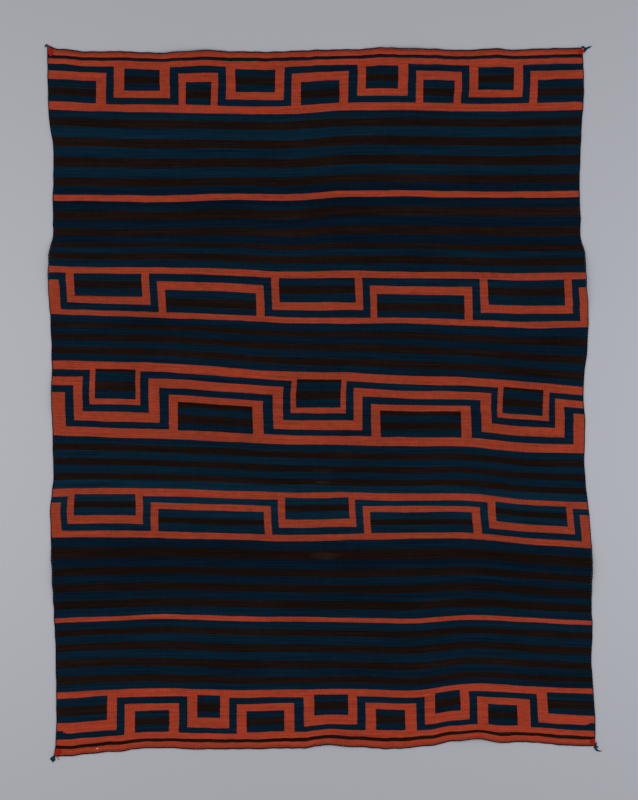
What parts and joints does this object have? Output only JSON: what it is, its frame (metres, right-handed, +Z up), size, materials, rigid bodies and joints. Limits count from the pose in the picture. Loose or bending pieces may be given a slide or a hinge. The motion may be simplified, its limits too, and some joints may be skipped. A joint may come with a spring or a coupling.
{
  "type": "woven wool serape blanket",
  "caption": "Handwoven wool serape lying flat: striped indigo and brown ground, orange-red stepped key-fret bands, twined edge cords, bound corners with short tassels.",
  "frame": {"origin": "the middle of the whole laid serape, tassels included, on the surface it lies on", "axes": "+X across the cloth along the weft, +Y along the warp toward the end that is at the top of the picture, +Z up from the surface"},
  "size_m": [1.4133, 1.8183, 0.0089],
  "materials": {
    "woven": "matte hand-spun wool, weft-faced weave in indigo, natural brown and orange-red",
    "edging": "matte twisted wool cord, very dark indigo",
    "binding": "matte red wool yarn",
    "tassel": "matte frayed wool yarn, dark blue-green"
  },
  "bodies": {
    "root": {"woven_cloth": "woven", "top_end_cord": "edging", "bottom_end_cord": "edging", "left_side_cord": "edging", "right_side_cord": "edging", "top_left_wrap": "binding", "top_right_wrap": "binding", "bottom_left_wrap": "binding", "bottom_right_wrap": "binding", "top_left_tassel": "tassel", "top_right_tassel": "tassel", "bottom_left_tassel": "tassel", "bottom_right_tassel": "tassel"}
  },
  "joints": []
}
